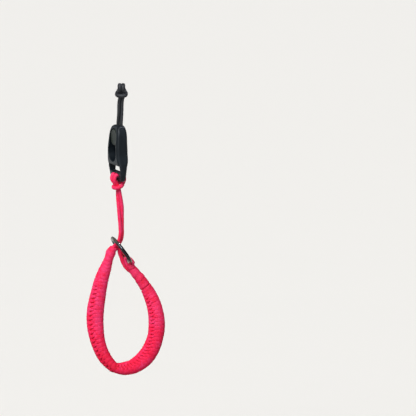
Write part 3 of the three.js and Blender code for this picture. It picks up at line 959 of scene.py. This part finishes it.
def housing_piece(material):
    """The link's moulding, with its track, window, slot and way for the cord cut out."""
    levels = finer(LINK_ROWS, 4 * (len(LINK_ROWS) - 1))
    body = new_piece("link_body", outward(loft_mesh("link_body", [link_ring(r) for r in levels])))
    floor, under_lip = BACK_PLATE - LINK_BACK, DISC_FRONT + CLEARANCE
    lip, beyond = under_lip - 0.6, 9
    cutters = [
        track_cutter("pocket", 7.9, TRACK_FOOT, 7.7, DISC_Z, floor, under_lip),
        track_cutter("way_out", 7.9, TRACK_FOOT, 7.9, TRACK_FOOT + 1.4, lip, beyond),
        track_cutter("mouth", 6.5, TRACK_FOOT, 7.05, DISC_Z, lip, beyond),
        slot_cutter("window", -66.4, -72.7, 23.0),
        slot_cutter("rope_slot", -73.6, -77.3, 12.6),
        track_cutter("cord_way", 3.2, DISC_Z, 3.2, -20, floor, DISC_FRONT - DISC_THICK),
    ]
    for cutter in cutters:
        outward(cutter.data)
        cut = body.modifiers.new(cutter.name, "BOOLEAN")
        cut.operation, cut.solver, cut.object = "DIFFERENCE", "MANIFOLD", cutter
    soften = body.modifiers.new("soften", "REMESH")
    soften.mode, soften.voxel_size = "VOXEL", 0.3 * MM
    smooth = body.modifiers.new("smooth", "SMOOTH")
    smooth.factor, smooth.iterations = 0.5, 4
    mesh = baked(body, "link_shell")
    for cutter in cutters:
        bpy.data.objects.remove(cutter)
    mesh.materials.clear()
    mesh.shade_smooth()
    in_place_of(new_piece("link_shell", mesh, material), "link_housing")


def disc_piece(material):
    """The round disc, turned from its profile, with a raised rim round its face."""
    face, back = DISC_FRONT, DISC_FRONT - DISC_THICK
    profile = [
        (0.01, back), (6.4, back), (6.9, back + 0.15), (7.12, back + 0.55),
        (DISC_RADIUS, face - 0.9), (7.05, face - 0.4), (6.75, face - 0.1), (6.3, face),
        (5.6, face - 0.02), (5.3, face - 0.14), (4.9, face - 0.16), (0.01, face - 0.12),
    ]
    rings = [[link_point(r * math.cos(a), h, DISC_Z + r * math.sin(a)) for a in circle(72)]
             for r, h in profile]
    disc = new_piece("link_disc", outward(loft_mesh("link_disc", rings)), material)
    in_place_of(disc, "anchor_disc")


def ring_piece(sizes, material):
    """The slide ring, a round wire bent into a circle."""
    around, section = 120, 28
    radius, wire = sizes.ring_radius, sizes.ring_wire / 2
    turn = Vector((0, 0, 1)).rotation_difference(RING_AXIS)
    points, faces = [], []
    for i, a in enumerate(circle(around)):
        for j, b in enumerate(circle(section)):
            reach = radius + wire * math.cos(b)
            p = Vector((reach * math.cos(a), reach * math.sin(a), wire * math.sin(b)))
            points.append(RING_CENTRE + turn @ p)
            here, there = i * section, (i + 1) % around * section
            beside = (j + 1) % section
            faces.append((here + j, there + j, there + beside, here + beside))
    mesh = new_mesh("polished_ring", points, [], faces)
    mesh.shade_smooth()
    in_place_of(new_piece("polished_ring", mesh, material), "slide_ring")


# ---------- operators ----------


class StrapOperator:
    """What every part of the strap is built with."""

    bl_options = {"REGISTER", "UNDO"}

    def execute(self, context):
        self.build(context.scene, context.scene.strap_sizes, context.scene.strap_colours)
        return {"FINISHED"}


class STRAP_OT_stage(StrapOperator, bpy.types.Operator):
    """Sets the camera, the soft lights and the pale floor"""

    bl_idname = "strap.stage"
    bl_label = "Stage"

    def build(self, scene, sizes, colours):
        self.camera(scene)
        self.floor(colours)
        self.room(scene)
        self.lights(scene)
        scene.view_settings.view_transform = "Standard"

    def camera(self, scene):
        """A long lens that looks down a little and sees this span."""
        away, span, sensor, tilt = 2.0, 0.36192, 36, math.radians(11)
        aim = Vector((0.07456, 0, -0.10503))
        camera = bpy.data.cameras.new("camera")
        camera.lens, camera.sensor_width = sensor * away / span, sensor
        camera.clip_start, camera.clip_end = 0.05, 60
        holder = bpy.data.objects.new("camera", camera)
        holder.location = aim + Vector((0, -math.cos(tilt), math.sin(tilt))) * away
        holder.rotation_euler = (math.pi / 2 - tilt, 0, 0)
        scene.collection.objects.link(holder)
        scene.camera = holder

    def floor(self, colours):
        half, level = 20, -0.45
        corners = [(x * half, y * half, level) for x, y in ((-1, -1), (1, -1), (1, 1), (-1, 1))]
        mesh = new_mesh("floor", corners, [], [(0, 1, 2, 3)])
        material, graph = new_material("pale_floor")
        cloud = fine_noise(graph, 0.8, detail=1.0)
        darker = (0.96 * c for c in colours.floor)
        base = graph.mixed(cloud * 0.04, (*colours.floor, 1), (*darker, 1))
        end_material(graph, {"Base Color": base, "Roughness": 0.9, "Specular IOR Level": 0.1})
        floor = new_piece("floor", mesh, material)
        floor.visible_diffuse = False

    def room(self, scene):
        """A soft glow all round, brighter from the upper left in front."""
        world = bpy.data.worlds.new("soft_room")
        world.use_nodes = True
        graph = Graph(world.node_tree)
        way = graph.add("ShaderNodeTexCoord", out="Generated")
        facing = graph.vector("DOT_PRODUCT", way, (-0.45, -0.70, 0.55), out="Value")
        level = (facing * 0.5 + 0.5) ** 2.0
        glow = graph.add("ShaderNodeBackground", {}, [(0.95, 0.96, 1.0, 1), level * 0.62 + 0.17])
        graph.add("ShaderNodeOutputWorld", {}, [glow])
        scene.world = world

    def lights(self, scene):
        """A wide sun, and three lights that show only as glints."""
        sun = bpy.data.lights.new("window_light", "SUN")
        sun.energy, sun.angle, sun.color = 2.95, math.radians(28), (1.0, 0.985, 0.96)
        self.aimed(scene, sun, Vector(), (-0.34, -0.82, 0.86))
        for name, target, way, wide, high, power in (
            ("rim_glint", Vector((0, 0, -0.050)), (-0.776, 0.601, 0.02), 0.35, 0.80, 1.0),
            ("ring_glint", RING_CENTRE, (0.10, -0.95, 0.62), 0.12, 0.40, 16.0),
        ):
            panel = bpy.data.lights.new(name, "AREA")
            panel.shape, panel.size, panel.size_y = "RECTANGLE", wide, high
            panel.energy, panel.color = power, (0.80, 0.89, 1.0)
            self.aimed(scene, panel, target, way).visible_diffuse = False
        beam = bpy.data.lights.new("shoulder_glint", "SPOT")
        beam.spot_size, beam.spot_blend, beam.shadow_soft_size = math.radians(2.6), 0.6, 0.05
        beam.energy, beam.color = 170.0, (0.80, 0.82, 1.0)
        shoulder = Vector((0.002, 0, -0.038))
        self.aimed(scene, beam, shoulder, (0.46, 0.20, 0.86)).visible_diffuse = False

    def aimed(self, scene, light, target, way):
        """Stands a light off its target, the way given."""
        lamp = bpy.data.objects.new(light.name, light)
        lamp.location = target + Vector(way)
        lamp.rotation_mode = "QUATERNION"
        lamp.rotation_quaternion = (target - lamp.location).to_track_quat("-Z", "Y")
        scene.collection.objects.link(lamp)
        return lamp


class STRAP_OT_ropes(StrapOperator, bpy.types.Operator):
    """Lays the black cord, the doubled leader and the eye's two ropes"""

    bl_idname = "strap.ropes"
    bl_label = "Ropes"

    def build(self, scene, sizes, colours):
        tree = rope_tree()
        red, black = rope_material(colours), cord_material(colours)
        for name, node, route, thick, material, slot, swelling in (
            ("doubled_leader", "leader_rope", leader_route(), sizes.leader_rope, red, "rope",
             (-0.088, -0.084, 1.15)),
            ("black_cord", "anchor_cord", anchor_route(), sizes.anchor_cord, black,
             "anchor_cord", (-0.009, -0.006, 1.3)),
        ):
            piece, path = rope_piece(name, node, route, thick, tree, material,
                                     swelling=swelling)
        # The last number is the rope's painted shade; the back rope is painted darker, as it lies
        # in shadow.
        for name, node, route, thick, shade in (
            ("eye_front", "eye_front_rope", EYE_FRONT_ROUTE, sizes.eye_rope, 0.12),
            ("eye_back", "eye_back_rope", EYE_BACK_ROUTE, 1.2 * sizes.eye_rope, 0.45),
        ):
            points = [Vector(p) * MM for p in route]
            rope_piece(name, node, points, thick, tree, red, shade)


class STRAP_OT_loop(StrapOperator, bpy.types.Operator):
    """Wraps both halves of the wrist loop, with the stitched row on each band"""

    bl_idname = "strap.loop"
    bl_label = "Wrist loop"

    def build(self, scene, sizes, colours):
        tree = wrap_tree()
        red = bpy.data.materials["red_braided_rope"]
        left, right = Branch(LEFT_ROWS), Branch(RIGHT_ROWS)
        seam = math.asin(-0.42)
        # The layers' shade is painted shade: the right end and its loose turns darker, the left
        # end a little lighter.
        left_end = Layer(PLAIN_TURN, sizes.end_pitch, 2.4, 5, extra=1, slack=0.04, shade=-0.4)
        left_turns = Layer(HITCHED_TURN, sizes.left_pitch, seam, 11, offset=0.25, slack=0.05)
        right_turns = Layer(HITCHED_TURN, sizes.right_pitch, seam, 23, offset=0.25, slack=0.06)
        right_end = left_end._replace(shade=7.0, slack=0.20)
        loose = Layer(LOOSE_TURN, 1.25 * sizes.end_pitch, 1.1, 31, slack=0.16,
                      depth=1.05 * MM, shade=13.0)
        loose_half = loose._replace(start=0.45, share=0.5)
        for branch, node, start, end, layers in (
            (left, "left_band", 0, 9, [left_turns]),
            (left, "left_end_wrap", 9, 16, [left_end]),
            (right, "right_band", 0, 11, [right_turns]),
            (right, "right_end_wrap", 11, 13, [right_end, loose_half]),
            (right, "throat_wrap", 13, 14, [right_end, loose]),
        ):
            wrapped_piece(branch, node, start, end, layers, tree, red)


class STRAP_OT_link(StrapOperator, bpy.types.Operator):
    """Moulds the flat link and the disc that sits in its track"""

    bl_idname = "strap.link"
    bl_label = "Link and disc"

    def build(self, scene, sizes, colours):
        housing_piece(plastic_material("black_moulding", colours.link, 0.42, 0.5 * MM))
        disc_piece(plastic_material("olive_moulding", colours.disc, 0.45, 0.4 * MM))


class STRAP_OT_ring(StrapOperator, bpy.types.Operator):
    """Bends the polished ring that the leader slides through"""

    bl_idname = "strap.ring"
    bl_label = "Slide ring"

    def build(self, scene, sizes, colours):
        ring_piece(sizes, ring_material(colours))


OPERATORS = (STRAP_OT_stage, STRAP_OT_ropes, STRAP_OT_loop, STRAP_OT_link, STRAP_OT_ring)


class STRAP_PT_panel(bpy.types.Panel):
    """The strap's sizes, colours and the buttons that build it"""

    bl_idname = "STRAP_PT_panel"
    bl_label = "Wrist Strap"
    bl_space_type = "VIEW_3D"
    bl_region_type = "UI"
    bl_category = "Wrist Strap"

    def draw(self, context):
        for group in (context.scene.strap_sizes, context.scene.strap_colours):
            box = self.layout.box()
            for name in group.__annotations__:
                box.prop(group, name)
        for operator in OPERATORS:
            self.layout.operator(operator.bl_idname)


CLASSES = (StrapSizes, StrapColours, *OPERATORS, STRAP_PT_panel)


def register():
    for item in CLASSES:
        bpy.utils.register_class(item)
    bpy.types.Scene.strap_sizes = bpy.props.PointerProperty(type=StrapSizes)
    bpy.types.Scene.strap_colours = bpy.props.PointerProperty(type=StrapColours)


def unregister():
    del bpy.types.Scene.strap_sizes, bpy.types.Scene.strap_colours
    for item in reversed(CLASSES):
        bpy.utils.unregister_class(item)


def main():
    register()
    bpy.ops.strap.stage()
    bpy.ops.strap.ropes()
    bpy.ops.strap.loop()
    bpy.ops.strap.link()
    bpy.ops.strap.ring()


if __name__ == "__main__":
    main()
